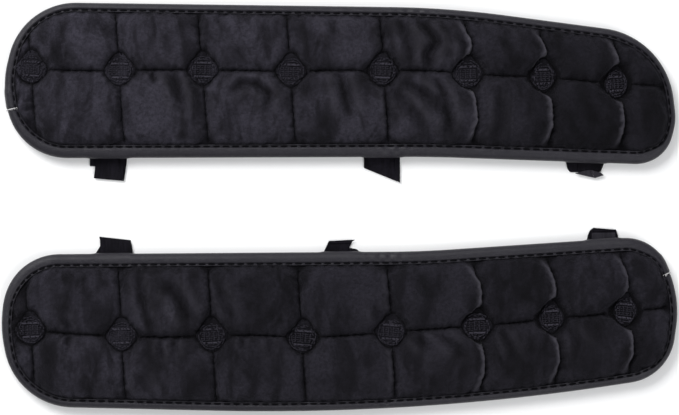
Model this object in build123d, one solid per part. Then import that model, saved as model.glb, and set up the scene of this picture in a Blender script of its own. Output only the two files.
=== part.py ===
"""A pair of quilted forearm guards: long plush pads with bound edges and fastening straps.

Each guard is a sandwich: a backing sheet, a foam core and a quilted plush cover, held
together round the edge by a folded leatherette binding and through the middle by a row
of embroidered rosettes. Three elastic straps are sewn under the long outer edge and
reach back to three short tabs, which are sewn under the inner edge and stick out of it.

Each guard is drawn in its own plan, x along the pad and y across it from the strap edge
(y = 0) to the far edge. The lower guard is the upper guard's mirror image, so its plan
is flipped before it is put in place. Sizes are in millimetres and +Z is up. The origin
is on the ground under the middle of the pair.
"""
from build123d import *
import math
import os

# ---- driving dimensions -------------------------------------------------------------
GAP_BETWEEN_GUARDS = 58.0      # strap edge to strap edge, as the pair is laid out

STRAP_WIDTH = 20.0
BAND_THICKNESS = 0.9           # elastic webbing
HOOK_THICKNESS = 0.6           # hook patch on the band's free end
HOOK_LENGTH = 38.0
TAB_THICKNESS = 1.2            # doubled webbing
HINGE_INSET = 8.0              # from the pad's edge to a strap's or tab's sewn line
BAND_TO_TAB = 2.5              # free space between a band's end and the tab's sewn line
ANCHOR_LENGTH = 11.7
ANCHOR_THICKNESS = 0.6
ANCHOR_INSET = 7.2             # from the pad's edge to the near side of an anchor patch

PAD_BASE = 2.4                 # height of the pad's underside over the ground
BINDING_HEIGHT = 7.0
BINDING_SKIN = 1.0             # thickness of the folded leatherette
BINDING_WIDTH = 6.0            # how far it reaches in over the pad
BINDING_ROUND = 2.4
BACKING_THICKNESS = 0.8
FOAM_EDGE = 3.0                # foam squeezed inside the binding
FOAM_TOP = 11.0
PLUSH_TOP = 15.4
PLUSH_ROUND = 4.0
SNUG = 0.2                     # gap between a layer and the binding's inside wall

GROOVE_FLOOR = 12.0            # height of the quilting seams' bottom
GROOVE_TOP_WIDTH = 7.0
GROOVE_FLOOR_WIDTH = 1.0
ROSETTE_RADIUS = 9.0
ROSETTE_RECESS_RADIUS = 10.5
ROSETTE_THICKNESS = 0.9
ROSETTE_RING_WIDTH = 1.2
THREAD = 0.5

# ---- the two guards -----------------------------------------------------------------
# outline: the pad's corners in plan with the radius that rounds each of them.
# rosettes: centres in plan. lean: how far a cross seam moves along x for each
# millimetre across the pad. tabs: the plan shape of each tab, from its sewn line out.
UPPER = {
    "name": "upper",
    "outline": [
        ((-195.8, -0.3), 37.0),
        ((55.0, 0.6), 900.0),
        ((195.2, -4.4), 23.0),
        ((201.5, 22.1), 29.0),
        ((195.4, 72.2), 48.0),
        ((64.6, 89.4), 570.0),
        ((-190.7, 92.9), 41.0),
        ((-202.3, 46.0), 58.0),
    ],
    "rosettes": [
        (-185.1, 52.8), (-132.3, 51.6), (-82.5, 52.2), (-29.7, 51.0),
        (25.5, 51.6), (76.5, 49.8), (121.5, 48.0), (165.3, 43.8),
    ],
    "lean": -0.075,
    "tabs": [
        [(-149.6, 8.0), (-149.6, -5.0), (-147.3, -5.5), (-147.3, -12.7),
         (-129.8, -14.0), (-128.0, 8.0)],
        [(15.0, 8.4), (15.0, -6.3), (36.0, -14.8), (36.0, 8.4)],
        [(137.0, 5.6), (136.4, -4.5), (137.4, -7.6), (141.0, -9.8),
         (153.6, -12.4), (158.8, -11.0), (157.0, -8.8), (158.6, 5.6)],
    ],
}
LOWER = {
    "name": "lower",
    "outline": [
        ((-199.4, 1.2), 34.5),
        ((48.0, -0.6), 600.0),
        ((188.4, -10.0), 27.0),
        ((204.0, 26.6), 63.0),
        ((197.4, 73.9), 31.0),
        ((46.6, 97.1), 1400.0),
        ((-194.9, 91.6), 42.0),
        ((-203.8, 45.2), 70.0),
    ],
    "rosettes": [
        (-185.7, 45.8), (-131.1, 49.4), (-77.1, 49.4), (-22.5, 50.6),
        (30.3, 47.0), (81.9, 43.4), (126.3, 38.6), (170.7, 34.4),
    ],
    "lean": 0.065,
    "tabs": [
        [(-147.0, 8.0), (-147.0, 0.0), (-144.0, -4.6), (-144.3, -10.0),
         (-127.3, -7.8), (-126.0, 8.0)],
        [(-10.2, 7.6), (-10.2, 0.0), (-6.9, -7.3), (3.3, -7.0), (8.3, -8.2),
         (5.2, -3.4), (8.0, -2.4), (11.0, 7.6)],
        [(148.3, 0.4), (148.5, -9.0), (149.5, -12.8), (151.8, -15.0),
         (165.0, -14.6), (166.5, -11.8), (167.0, 0.4)],
    ],
}


def outline_face(guard):
    """The pad's plan: straight and gently bent sides joined by round corners."""
    points = [corner for corner, radius in guard["outline"]]
    radii = [radius for corner, radius in guard["outline"]]
    return make_face(FilletPolyline(*points, radius=radii, close=True))


def layer(face, inset, low, high):
    """A flat layer that follows the outline, inset from it, between two heights."""
    plan = offset(face, amount=-inset) if inset > 0 else face
    return extrude(Pos(0, 0, low) * plan, amount=high - low)


def plan_prism(points, low, high):
    """A straight-sided solid over a plan polygon."""
    return extrude(Pos(0, 0, low) * make_face(Polyline(*points, close=True)), amount=high - low)


def block(x_low, x_high, y_low, y_high, z_low, z_high):
    """A box between two corners."""
    size = (x_high - x_low, y_high - y_low, z_high - z_low)
    return Pos(x_low, y_low, z_low) * Box(*size, align=(Align.MIN, Align.MIN, Align.MIN))


def bar_between(start, end, width, low, high, end_gap=0.0):
    """A straight bar in plan from start to end, shortened at both ends by end_gap."""
    run = Vector(end[0] - start[0], end[1] - start[1])
    angle = math.degrees(math.atan2(run.Y, run.X))
    middle = ((start[0] + end[0]) / 2, (start[1] + end[1]) / 2, (low + high) / 2)
    return Pos(*middle) * Rot(0, 0, angle) * Box(run.length - 2 * end_gap, width, high - low)


def groove_between(start, end):
    """The valley of one quilting seam: a trapezoid section along a straight line."""
    run = Vector(end[0] - start[0], end[1] - start[1], 0)
    plane = Plane(
        origin=(start[0], start[1], GROOVE_FLOOR), x_dir=(-run.Y, run.X, 0), z_dir=run
    )
    depth = PLUSH_TOP - GROOVE_FLOOR + 0.5
    half_top = GROOVE_TOP_WIDTH / 2
    half_floor = GROOVE_FLOOR_WIDTH / 2
    section = Polyline(
        (-half_floor, 0), (half_floor, 0), (half_top, depth), (-half_top, depth), close=True
    )
    return extrude(plane * make_face(section), amount=run.length)


def edge_at(face, x, side):
    """The y of the outline's strap edge or far edge at a given x."""
    box = face.bounding_box()
    line = Edge.make_line((x, box.min.Y - 5, 0), (x, box.max.Y + 5, 0))
    crossing = (face & line).bounding_box()
    return crossing.min.Y if side == "strap" else crossing.max.Y


def seam_lines(guard, face):
    """The quilting seams in plan: one along the rosettes, and one across at each."""
    rosettes = guard["rosettes"]
    along = list(zip(rosettes, rosettes[1:]))
    right_end = face.bounding_box().max.X
    last = rosettes[-1]
    along.append((last, (right_end, last[1] - 4.0)))
    across = []
    for x, y in rosettes:
        for side in ("strap", "far"):
            y_end = edge_at(face, x, side)
            across.append(((x, y), (x + guard["lean"] * (y_end - y), y_end)))
    return along, across


def build_pad(guard, face):
    """Backing, foam, plush cover and binding of one guard."""
    pad_top = PAD_BASE + BINDING_HEIGHT
    cavity_low = PAD_BASE + BINDING_SKIN
    cavity_high = pad_top - BINDING_SKIN
    foam_low = cavity_low + BACKING_THICKNESS
    foam_shoulder = foam_low + FOAM_EDGE
    wall_inset = BINDING_SKIN + SNUG
    lip_inset = BINDING_WIDTH + SNUG

    binding = layer(face, 0, PAD_BASE, pad_top)
    rims = binding.edges().filter_by(lambda e: abs(e.tangent_at(0.5).Z) < 0.1)
    binding = fillet(rims, BINDING_ROUND)
    binding -= layer(face, BINDING_SKIN, cavity_low, cavity_high)
    binding -= layer(face, BINDING_WIDTH, PAD_BASE - 1, pad_top + 1)

    backing = layer(face, wall_inset, cavity_low, foam_low)
    backing += layer(face, lip_inset, PAD_BASE, cavity_low)

    foam = layer(face, wall_inset, foam_low, foam_shoulder)
    foam += layer(face, BINDING_WIDTH + 3.0, foam_shoulder, FOAM_TOP)

    cover = layer(face, lip_inset, foam_shoulder, PLUSH_TOP)
    crest = cover.faces().sort_by(Axis.Z)[-1].edges()
    cover = fillet(crest, PLUSH_ROUND)
    cover += layer(face, wall_inset, foam_shoulder, cavity_high)
    cover -= foam
    along, across = seam_lines(guard, face)
    for start, end in along + across:
        cover -= groove_between(start, end)
    for x, y in guard["rosettes"]:
        recess = Cylinder(ROSETTE_RECESS_RADIUS, PLUSH_TOP, align=(Align.CENTER, Align.CENTER, Align.MIN))
        cover -= Pos(x, y, GROOVE_FLOOR) * recess
    return {"edge_binding": binding, "backing_sheet": backing, "foam_core": foam, "plush_cover": cover}


def build_stitching(guard, face):
    """Thread: round the binding, along the quilting seams, and the rosettes."""
    pad_top = PAD_BASE + BINDING_HEIGHT
    row = BINDING_WIDTH - 1.0
    top_row = layer(face, row, pad_top, pad_top + THREAD / 2)
    top_row -= layer(face, row + THREAD, pad_top, pad_top + THREAD)
    under_row = layer(face, row, PAD_BASE - THREAD / 2, PAD_BASE)
    under_row -= layer(face, row + THREAD, PAD_BASE - THREAD, PAD_BASE)

    along, across = seam_lines(guard, face)
    thread_top = GROOVE_FLOOR + THREAD
    threads = []
    for start, end in along[:-1]:
        threads.append(bar_between(start, end, THREAD, GROOVE_FLOOR, thread_top, ROSETTE_RADIUS + 0.5))
    for start, end in [along[-1]] + across:
        run = Vector(end[0] - start[0], end[1] - start[1]).normalized()
        near = Vector(*start) + run * (ROSETTE_RADIUS + 0.5)
        far = Vector(*end) - run * (BINDING_WIDTH + 2.0)
        if (far - near).dot(run) > 4.0:
            threads.append(
                bar_between((near.X, near.Y), (far.X, far.Y), THREAD, GROOVE_FLOOR, thread_top)
            )

    rosettes = []
    for x, y in guard["rosettes"]:
        disc = Cylinder(ROSETTE_RADIUS, ROSETTE_THICKNESS, align=(Align.CENTER, Align.CENTER, Align.MIN))
        ring = Cylinder(ROSETTE_RADIUS, THREAD, align=(Align.CENTER, Align.CENTER, Align.MIN))
        ring -= Cylinder(
            ROSETTE_RADIUS - ROSETTE_RING_WIDTH, THREAD, align=(Align.CENTER, Align.CENTER, Align.MIN)
        )
        rosettes.append(Pos(x, y, GROOVE_FLOOR) * (disc + Pos(0, 0, ROSETTE_THICKNESS) * ring))
    return {
        "binding_stitching": Compound([top_row.solid(), under_row.solid()]),
        "quilting_thread": Compound([t.solid() for t in threads]),
        "rosettes": Compound([r.solid() for r in rosettes]),
    }


def stitch_box(x_mid, y_mid, length, width):
    """A sewn square with a cross in it, as four sides and one diagonal of thread."""
    low = PAD_BASE - ANCHOR_THICKNESS - THREAD / 2
    high = PAD_BASE - ANCHOR_THICKNESS
    half_x = length / 2
    half_y = width / 2
    corners = [(x_mid + sx * half_x, y_mid + sy * half_y) for sx, sy in ((-1, -1), (1, -1), (1, 1), (-1, 1))]
    square = plan_prism(corners, low, high)
    square -= block(
        x_mid - half_x + THREAD, x_mid + half_x - THREAD,
        y_mid - half_y + THREAD, y_mid + half_y - THREAD, low, high,
    )
    return square + bar_between(corners[0], corners[2], THREAD, low, high, end_gap=THREAD)


def build_straps(guard, face):
    """Three bands with hook patches, three tabs, and the patches that hold them."""
    parts = {}
    stitches = []
    axes = {}
    for number, tab_plan in enumerate(guard["tabs"], start=1):
        x_values = [x for x, y in tab_plan]
        x_mid = (min(x_values) + max(x_values)) / 2
        x_low = x_mid - STRAP_WIDTH / 2
        x_high = x_mid + STRAP_WIDTH / 2
        tab_line = tab_plan[0][1]
        band_line = edge_at(face, x_mid, "far") - HINGE_INSET
        band_end = tab_line + BAND_TO_TAB

        parts[f"tab_{number}"] = plan_prism(tab_plan, 0, TAB_THICKNESS)
        parts[f"strap_{number}_band"] = block(x_low, x_high, band_end, band_line, 0, BAND_THICKNESS)
        parts[f"strap_{number}_hook_patch"] = block(
            x_low + 0.5, x_high - 0.5, band_end + 0.5, band_end + HOOK_LENGTH,
            BAND_THICKNESS, BAND_THICKNESS + HOOK_THICKNESS,
        )
        anchor_low = PAD_BASE - ANCHOR_THICKNESS
        far_side = band_line + HINGE_INSET - ANCHOR_INSET
        near_side = tab_line - HINGE_INSET + ANCHOR_INSET
        outer = block(x_low - 1, x_high + 1, far_side - ANCHOR_LENGTH, far_side, anchor_low, PAD_BASE)
        inner = block(x_low - 1, x_high + 1, near_side, near_side + ANCHOR_LENGTH, anchor_low, PAD_BASE)
        parts[f"strap_{number}_anchor"] = outer
        parts[f"tab_{number}_anchor"] = inner
        stitches.append(stitch_box(x_mid, far_side - ANCHOR_LENGTH / 2, STRAP_WIDTH - 3, ANCHOR_LENGTH - 3))
        stitches.append(stitch_box(x_mid, near_side + ANCHOR_LENGTH / 2, STRAP_WIDTH - 3, ANCHOR_LENGTH - 3))
        axes[f"strap_{number}"] = (x_mid, band_line, BAND_THICKNESS / 2)
        axes[f"tab_{number}"] = (x_mid, tab_line, TAB_THICKNESS / 2)
    parts["strap_stitching"] = Compound([s.solid() for s in stitches])
    return parts, axes


def place(shape, guard, centre):
    """Move a piece from its guard's own plan to its place in the pair."""
    half_gap = GAP_BETWEEN_GUARDS / 2
    if guard is LOWER:
        shape = Pos(0, -half_gap, 0) * mirror(shape, about=Plane.XZ)
    else:
        shape = Pos(0, half_gap, 0) * shape
    return Pos(-centre[0], -centre[1], 0) * shape


def place_point(point, guard, centre):
    """The same move for one point."""
    sign = -1 if guard is LOWER else 1
    return (
        point[0] - centre[0],
        sign * (point[1] + GAP_BETWEEN_GUARDS / 2) - centre[1],
        point[2],
    )


def main():
    os.makedirs("parts", exist_ok=True)
    faces = {guard["name"]: outline_face(guard) for guard in (UPPER, LOWER)}
    placed = [place(faces[guard["name"]], guard, (0, 0)) for guard in (UPPER, LOWER)]
    box = Compound(placed).bounding_box()
    centre = ((box.min.X + box.max.X) / 2, (box.min.Y + box.max.Y) / 2)
    for guard in (UPPER, LOWER):
        face = faces[guard["name"]]
        parts = build_pad(guard, face)
        parts.update(build_stitching(guard, face))
        straps, axes = build_straps(guard, face)
        parts.update(straps)
        for name, shape in parts.items():
            export_step(place(shape, guard, centre), f"parts/{guard['name']}_{name}.step")
        for name, point in axes.items():
            x, y, z = place_point(point, guard, centre)
            print(f"{guard['name']}_{name} sewn line at x {x:.2f}, y {y:.2f}, z {z:.2f}")


main()
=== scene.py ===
"""The looks of a pair of quilted forearm guards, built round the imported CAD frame.

Each guard is drawn in its own plan in millimetres: u runs along the pad and v across it,
from the strap edge (v = 0) to the far edge, as in the CAD part. The lower guard is the
mirror image of the upper one. A mesh is made in metres, at its place in the pair.
"""
import math
import random

import bmesh
import bpy
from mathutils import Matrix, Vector, noise
from mathutils.geometry import delaunay_2d_cdt
from mathutils.kdtree import KDTree


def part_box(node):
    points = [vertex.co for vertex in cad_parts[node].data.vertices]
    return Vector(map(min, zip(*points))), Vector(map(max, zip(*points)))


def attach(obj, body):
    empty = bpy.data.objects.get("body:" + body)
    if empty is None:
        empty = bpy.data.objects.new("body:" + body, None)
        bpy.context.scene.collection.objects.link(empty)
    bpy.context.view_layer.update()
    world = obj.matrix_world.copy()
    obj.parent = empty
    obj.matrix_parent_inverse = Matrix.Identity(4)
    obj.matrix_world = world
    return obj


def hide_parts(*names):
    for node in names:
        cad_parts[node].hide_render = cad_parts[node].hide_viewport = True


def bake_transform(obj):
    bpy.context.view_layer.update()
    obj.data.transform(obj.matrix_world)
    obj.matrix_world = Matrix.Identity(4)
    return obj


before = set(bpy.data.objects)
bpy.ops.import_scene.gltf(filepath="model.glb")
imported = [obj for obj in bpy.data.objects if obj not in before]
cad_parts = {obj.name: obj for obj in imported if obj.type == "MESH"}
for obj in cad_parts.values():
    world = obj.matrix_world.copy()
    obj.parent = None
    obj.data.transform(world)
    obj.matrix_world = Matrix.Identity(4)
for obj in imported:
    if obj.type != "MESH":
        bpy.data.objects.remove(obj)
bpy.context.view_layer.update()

MM = 0.001

# Heights over the ground, in millimetres.
PAD_BASE = 2.4
BINDING_TOP = 9.5
COVER_EDGE_HEIGHT = 7.9
SEAM_HEIGHT = 8.6
ROSETTE_HEIGHT = 9.5
WALL_RISE = 4.4                # how far a puff's steep sides stand over its seams
CROWN = 0.42                   # how much of the simulated crown is kept on top of that
LEAN = 6.6                     # how far the puffs at the tapered end lean towards the tip

STITCH_PITCH = 5.8             # binding
SEAM_STITCH_PITCH = 3.6        # quilting
ROSETTE_RADIUS = 8.6
ROSETTE_STEPS = 48             # points round a rosette's ground
RECESS_STEPS = 44              # points round the line that holds the cover down at a rosette

COVER_THICKNESS = 0.9
FOAM_TOP_GAP = 1.3             # from the cover's face down to the foam
FOAM_BASE_GAP = 1.1            # from the backing's face up to the foam
BACKING_THICKNESS = 0.8
JOIN_BULGE = 0.45              # how far the binding's overlapping end stands out
JOIN_LIFT = 0.55               # and how far it stands up


# ---- the two guards in plan -----------------------------------------------------------
class Guard:
    """One guard: its outline, seams and place. side is +1 for the upper, -1 for the lower."""

    def __init__(self, name, side, outline, lean, join, crumples, folds, painted_light_levels, seed):
        self.name = name
        self.side = side
        self.lean = lean
        self.join = Vector(join)
        self.crumples = crumples
        self.folds = folds
        # levels of painted light along the pad, at the left end, the middle and the far end
        self.painted_light_levels = painted_light_levels
        self.seed = seed
        self.edge = round_corners(outline, step=1.2)
        low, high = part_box(name + "_edge_binding")
        u_values = [p.x for p in self.edge]
        v_values = [p.y for p in self.edge]
        middle = (low + high) / (2 * MM)
        self.shift_u = middle.x - (min(u_values) + max(u_values)) / 2
        self.shift_v = middle.y - side * (min(v_values) + max(v_values)) / 2
        self.length = (min(u_values), max(u_values))
        self.rosettes = self.islands("rosettes")
        self.body = name + "_pad"
        total = sum((b - a).length for a, b in zip(self.edge, self.edge[1:] + self.edge[:1]))
        self.stitch_pitch = total / round(total / STITCH_PITCH)
        self.tab_spans = [self.span_of(f"tab_{number}") for number in (1, 2, 3)]

    def place(self, u, v, z):
        """A plan point and a height, as a point of the pair in metres."""
        return Vector((u + self.shift_u, self.side * v + self.shift_v, z)) * MM

    def plan(self, point):
        """A point of the pair in metres, as its place in the guard's plan."""
        return Vector((point.x / MM - self.shift_u, self.side * (point.y / MM - self.shift_v)))

    def falloff_shade_at(self, u):
        """How much darker than the left end the plush is painted at one place along the pad: painted shade,
        deepening towards the far end.
        """
        left, middle, right = self.painted_light_levels
        tone = left + (middle - left) * smoothstep(-190, 0, u)
        return 1 - tone - (right - middle) * smoothstep(10, 150, u)

    def span_of(self, node):
        """The lowest and highest u of a CAD node."""
        low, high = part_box(f"{self.name}_{node}")
        return self.plan(low).x, self.plan(high).x

    def islands(self, node):
        """The plan centres of the separate solids of a CAD node, from left to right."""
        points = sorted(
            (self.plan(v.co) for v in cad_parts[f"{self.name}_{node}"].data.vertices),
            key=lambda p: p.x,
        )
        groups = [[points[0]]]
        for before, here in zip(points, points[1:]):
            if here.x - before.x > 5:
                groups.append([])
            groups[-1].append(here)
        centres = []
        for group in groups:
            u_mid = (min(p.x for p in group) + max(p.x for p in group)) / 2
            v_mid = (min(p.y for p in group) + max(p.y for p in group)) / 2
            centres.append(Vector((u_mid, v_mid)))
        return centres


def round_corners(corners, step):
    """A closed polygon with each corner rounded by its radius, as points about step apart."""
    points = []
    count = len(corners)
    for i, ((x, y), radius) in enumerate(corners):
        here = Vector((x, y))
        before = Vector(corners[i - 1][0])
        after = Vector(corners[(i + 1) % count][0])
        to_before = (before - here).normalized()
        to_after = (after - here).normalized()
        half_angle = to_before.angle(to_after) / 2
        reach = radius / math.tan(half_angle)
        centre = here + (to_before + to_after).normalized() * (radius / math.sin(half_angle))
        start = here + to_before * reach - centre
        end = here + to_after * reach - centre
        turn = start.angle_signed(end)
        steps = max(2, math.ceil(abs(turn) * radius / step))
        for k in range(steps + 1):
            angle = -turn * k / steps
            spoke = Vector((
                start.x * math.cos(angle) - start.y * math.sin(angle),
                start.x * math.sin(angle) + start.y * math.cos(angle),
            ))
            points.append(centre + spoke)
    return resample(points, step, closed=True)


def resample(points, step, closed=False):
    """Points evenly spaced along a polyline."""
    line = points + [points[0]] if closed else points
    lengths = [0.0]
    for a, b in zip(line, line[1:]):
        lengths.append(lengths[-1] + (b - a).length)
    count = max(2, round(lengths[-1] / step))
    made = []
    k = 0
    for i in range(count if closed else count + 1):
        at = lengths[-1] * i / count
        while k < len(lengths) - 2 and lengths[k + 1] < at:
            k += 1
        share = (at - lengths[k]) / max(lengths[k + 1] - lengths[k], 1e-9)
        made.append(line[k].lerp(line[k + 1], share))
    return made


def crossing(line, u, far):
    """The v where a closed line crosses a given u: its far side or its strap side."""
    found = []
    for a, b in zip(line, line[1:] + line[:1]):
        if (a.x - u) * (b.x - u) <= 0 and a.x != b.x:
            found.append(a.y + (b.y - a.y) * (u - a.x) / (b.x - a.x))
    return max(found) if far else min(found)


def lumpy(point, scale, seed):
    """Smooth noise from about -1 to 1 at a plan point."""
    return noise.noise(Vector((point.x / scale, point.y / scale, seed * 7.31)))


def make_mesh(name, points, faces, smooth=True):
    """A mesh object from points in metres and faces."""
    mesh = bpy.data.meshes.new(name)
    mesh.from_pydata([tuple(p) for p in points], [], faces)
    mesh.update()
    if smooth:
        mesh.polygons.foreach_set("use_smooth", [True] * len(mesh.polygons))
    made = bpy.data.objects.new(name, mesh)
    bpy.context.scene.collection.objects.link(made)
    return made


def add_modifier(piece, kind, **settings):
    """A modifier with its settings, applied later by bake()."""
    modifier = piece.modifiers.new(kind.title(), kind)
    for key, value in settings.items():
        setattr(modifier, key, value)
    return modifier


def bake(piece):
    """Apply every modifier, so that the mesh itself has the shape."""
    graph = bpy.context.evaluated_depsgraph_get()
    shaped = bpy.data.meshes.new_from_object(piece.evaluated_get(graph), depsgraph=graph)
    piece.modifiers.clear()
    piece.data = shaped


def soften(piece):
    """Round a mesh off with one level of subdivision."""
    add_modifier(piece, "SUBSURF", levels=1, render_levels=1)
    bake(piece)


# ---- quilted cover --------------------------------------------------------------------
def edge_frames(guard):
    """For each point of the outline: the point, the inward direction, and the arc length so far."""
    frames = []
    along = 0.0
    points = guard.edge
    for i, here in enumerate(points):
        run = (points[(i + 1) % len(points)] - points[i - 1]).normalized()
        frames.append((here, Vector((-run.y, run.x)), along))
        along += (points[(i + 1) % len(points)] - here).length
    return frames, along


def smoothstep(low, high, x):
    """0 below low, 1 above high, smooth between."""
    t = min(1.0, max(0.0, (x - low) / (high - low)))
    return t * t * (3 - 2 * t)


def stitch_inset(inward):
    """How far the stitch line lies inside the pad's edge: wide on the strap side, narrow at the tip."""
    strap_share = smoothstep(-0.6, 0.9, inward.y)
    wide = 4.5 + 1.7 * strap_share
    tip_share = smoothstep(0.35, 1.0, -inward.x)
    return wide * (1 - 0.34 * tip_share)


def bowed(a, b, sag):
    """A gently bowed line of points from a to b."""
    across = (b - a).orthogonal().normalized()
    steps = max(4, round((b - a).length / 1.5))
    made = []
    for k in range(steps + 1):
        share = k / steps
        made.append(a.lerp(b, share) + across * sag * math.sin(math.pi * share))
    return made


def seam_routes(guard):
    """The quilting seams in plan: between the rosettes, and from each one to both edges."""
    routes = []
    centres = guard.rosettes
    for a, b in zip(centres, centres[1:]):
        routes.append(bowed(a, b, 1.5 * lumpy(a, 40, guard.seed)))
    last = centres[-1]
    routes.append(bowed(last, Vector((guard.length[1] - 3.0, last.y - 3.0)), 0.6))
    for centre in centres:
        for far in (False, True):
            v_edge = crossing(guard.edge, centre.x, far)
            u_end = centre.x + guard.lean * (v_edge - centre.y)
            end = Vector((u_end, crossing(guard.edge, u_end, far)))
            routes.append(bowed(centre, end, 1.8 * lumpy(centre, 30, guard.seed + 3 + far)))
    return routes


def tree_of(points):
    """A search tree of plan points."""
    tree = KDTree(len(points))
    for i, p in enumerate(points):
        tree.insert((p.x, p.y, 0), i)
    tree.balance()
    return tree


def recess_radius(guard, centre, angle):
    """How far the pressed-down plush reaches round a rosette: unevenly, out to a cusp on each seam."""
    up = guard.side * math.sin(angle)
    cusps = 3.0 * max(0.0, up) ** 10 + 0.9 * max(0.0, -up) ** 10 + 1.2 * abs(math.cos(angle)) ** 14
    return ROSETTE_RADIUS + 0.1 + cusps + 0.6 * lumpy(centre + polar(6, angle), 3.5, 5)


def recess_line(guard, centre):
    """The closed line that holds the cover down round a rosette."""
    angles = [math.tau * k / RECESS_STEPS for k in range(RECESS_STEPS)]
    return [centre + polar(recess_radius(guard, centre, angle), angle) for angle in angles]


class Crowd:
    """Plan points that keep a gap between them."""

    def __init__(self, points):
        self.cells = {}
        for p in points:
            self.add(p)

    def add(self, p):
        """Take a point in, whatever its distance from the others."""
        self.cells.setdefault((math.floor(p.x / 3), math.floor(p.y / 3)), []).append(p)

    def room(self, p, gap):
        """True if no point is within a gap, of 3 mm at most."""
        column = math.floor(p.x / 3)
        row = math.floor(p.y / 3)
        for i in (column - 1, column, column + 1):
            for j in (row - 1, row, row + 1):
                if any((p - q).length < gap for q in self.cells.get((i, j), ())):
                    return False
        return True


class PadPlan:
    """The flat plan of a pad's layers: triangles with the seams, rosettes and edge as lines."""

    def __init__(self, guard, spacing):
        self.guard = guard
        frames, _ = edge_frames(guard)
        border = [here + inward * (stitch_inset(inward) + 0.7) for here, inward, _ in frames]
        self.border = resample(border, 2.0, closed=True)
        self.border_tree = tree_of(self.border)
        self.seams = [
            [p for p in route if self.inside(p) > 1.0 and self.from_rosette(p) > 0.6]
            for route in seam_routes(guard)
        ]
        recesses = [recess_line(guard, centre) for centre in guard.rosettes]
        held = [self.border, *self.seams, *recesses]
        points = []
        edges = []
        for number, line in enumerate(held):
            first = len(points)
            points += line
            edges += [(first + i, first + i + 1) for i in range(len(line) - 1)]
            closed = number == 0 or number > len(self.seams)
            if closed:
                edges.append((first + len(line) - 1, first))
        self.sewn_tree = tree_of([p for line in held[1:] for p in line])
        self.centre_tree = tree_of([p for seam in self.seams[: len(guard.rosettes)] for p in seam])
        self.crowd = Crowd(points)
        points += self.beside(held, (0.9, 2.1, 3.4))
        points += self.lattice(spacing)
        flat, _, faces, _, _, _ = delaunay_2d_cdt(points, edges, [], 1, 1e-4)
        self.points = [Vector(p) for p in flat]
        self.faces = [tuple(f) if guard.side > 0 else tuple(f)[::-1] for f in faces]

    def inside(self, p):
        """How far a plan point is inside the border, negative outside it."""
        _, i, _ = self.border_tree.find((p.x, p.y, 0))
        border = self.border
        run = (border[(i + 1) % len(border)] - border[i - 1]).normalized()
        return (p - border[i]).dot(Vector((-run.y, run.x)))

    def from_rosette(self, p):
        """How far a plan point is outside the nearest rosette's recess, negative in it."""
        centre = min(self.guard.rosettes, key=lambda c: (p - c).length_squared)
        spoke = p - centre
        return spoke.length - recess_radius(self.guard, centre, math.atan2(spoke.y, spoke.x))

    def from_centre(self, p):
        """How far a plan point is from the seam along the rosettes."""
        return self.centre_tree.find((p.x, p.y, 0))[2]

    def before_cross_seam(self, p):
        """How far a plan point is short of the next seam across, or a large number past the last."""
        guard = self.guard
        gaps = [c.x + guard.lean * (p.y - c.y) - p.x for c in guard.rosettes]
        return min((gap for gap in gaps if gap > -0.5), default=99.0)

    def from_seam(self, p):
        """How far a plan point is from the nearest sewn line."""
        return self.sewn_tree.find((p.x, p.y, 0))[2]

    def free(self, p):
        """How far a plan point is from anything that holds the cloth down."""
        return min(self.from_seam(p), max(self.inside(p), 0.0), max(self.from_rosette(p), 0.0))

    def in_corner(self, p):
        """How far a plan point is inside its puff's rounded corner at the edge, or 99 elsewhere."""
        radius = 10.0 if p.y < 40 else 5.0
        short_of_seam = radius - self.from_seam(p)
        short_of_edge = radius - self.inside(p)
        if min(short_of_seam, short_of_edge) < 0:
            return 99.0
        return radius - math.hypot(short_of_seam, short_of_edge)

    def beside(self, lines, rows):
        """Even rows of points along both sides of the held lines, where the cloth rises steeply."""
        made = []
        for row in rows:
            for line in lines:
                for i, here in enumerate(line):
                    run = (line[min(i + 1, len(line) - 1)] - line[max(i - 1, 0)]).normalized()
                    for normal in (Vector((-run.y, run.x)), Vector((run.y, -run.x))):
                        p = here + normal * row
                        if self.inside(p) < 0.8 * row or self.free(p) < 0.85 * row:
                            continue
                        if self.crowd.room(p, 0.9):
                            self.crowd.add(p)
                            made.append(p)
        return made

    def lattice(self, spacing):
        """Loose points that fill the plan between its lines."""
        draw = random.Random(self.guard.seed)
        low_u, high_u = self.guard.length
        row_step = spacing * math.sqrt(3) / 2
        made = []
        for row in range(round(115 / row_step)):
            for column in range(round((high_u - low_u) / spacing)):
                u = low_u + (column + 0.5 * (row % 2) + draw.uniform(-0.2, 0.2)) * spacing
                v = -10 + row * row_step + draw.uniform(-0.2, 0.2) * spacing
                p = Vector((u, v))
                if self.inside(p) > 0.6 * spacing and self.crowd.room(p, 0.7 * spacing):
                    self.crowd.add(p)
                    made.append(p)
        return made


def polar(radius, angle):
    """A plan vector of a given length and direction."""
    return Vector((math.cos(angle), math.sin(angle))) * radius


def swell(piece, pinned, frames, stretch, pressure):
    """Cloth simulation: the free part of a pinned cloth puffs up under pressure."""
    group = piece.vertex_groups.new(name="pinned")
    group.add(pinned, 1.0, "REPLACE")
    cloth = piece.modifiers.new("Cloth", "CLOTH")
    settings = cloth.settings
    settings.quality = 6
    settings.mass = 0.002
    settings.tension_stiffness = 30
    settings.compression_stiffness = 30
    settings.shear_stiffness = 12
    settings.bending_stiffness = 0.2
    settings.air_damping = 2.0
    settings.effector_weights.gravity = 0
    settings.vertex_group_mass = "pinned"
    settings.shrink_min = -stretch
    settings.use_pressure = True
    settings.uniform_pressure_force = pressure
    cloth.collision_settings.use_collision = False
    scene = bpy.context.scene
    scene.frame_start = 1
    scene.frame_end = frames
    cloth.point_cache.frame_end = frames
    for step in range(1, frames + 1):
        scene.frame_set(step)
    bake(piece)
    scene.frame_set(1)


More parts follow.
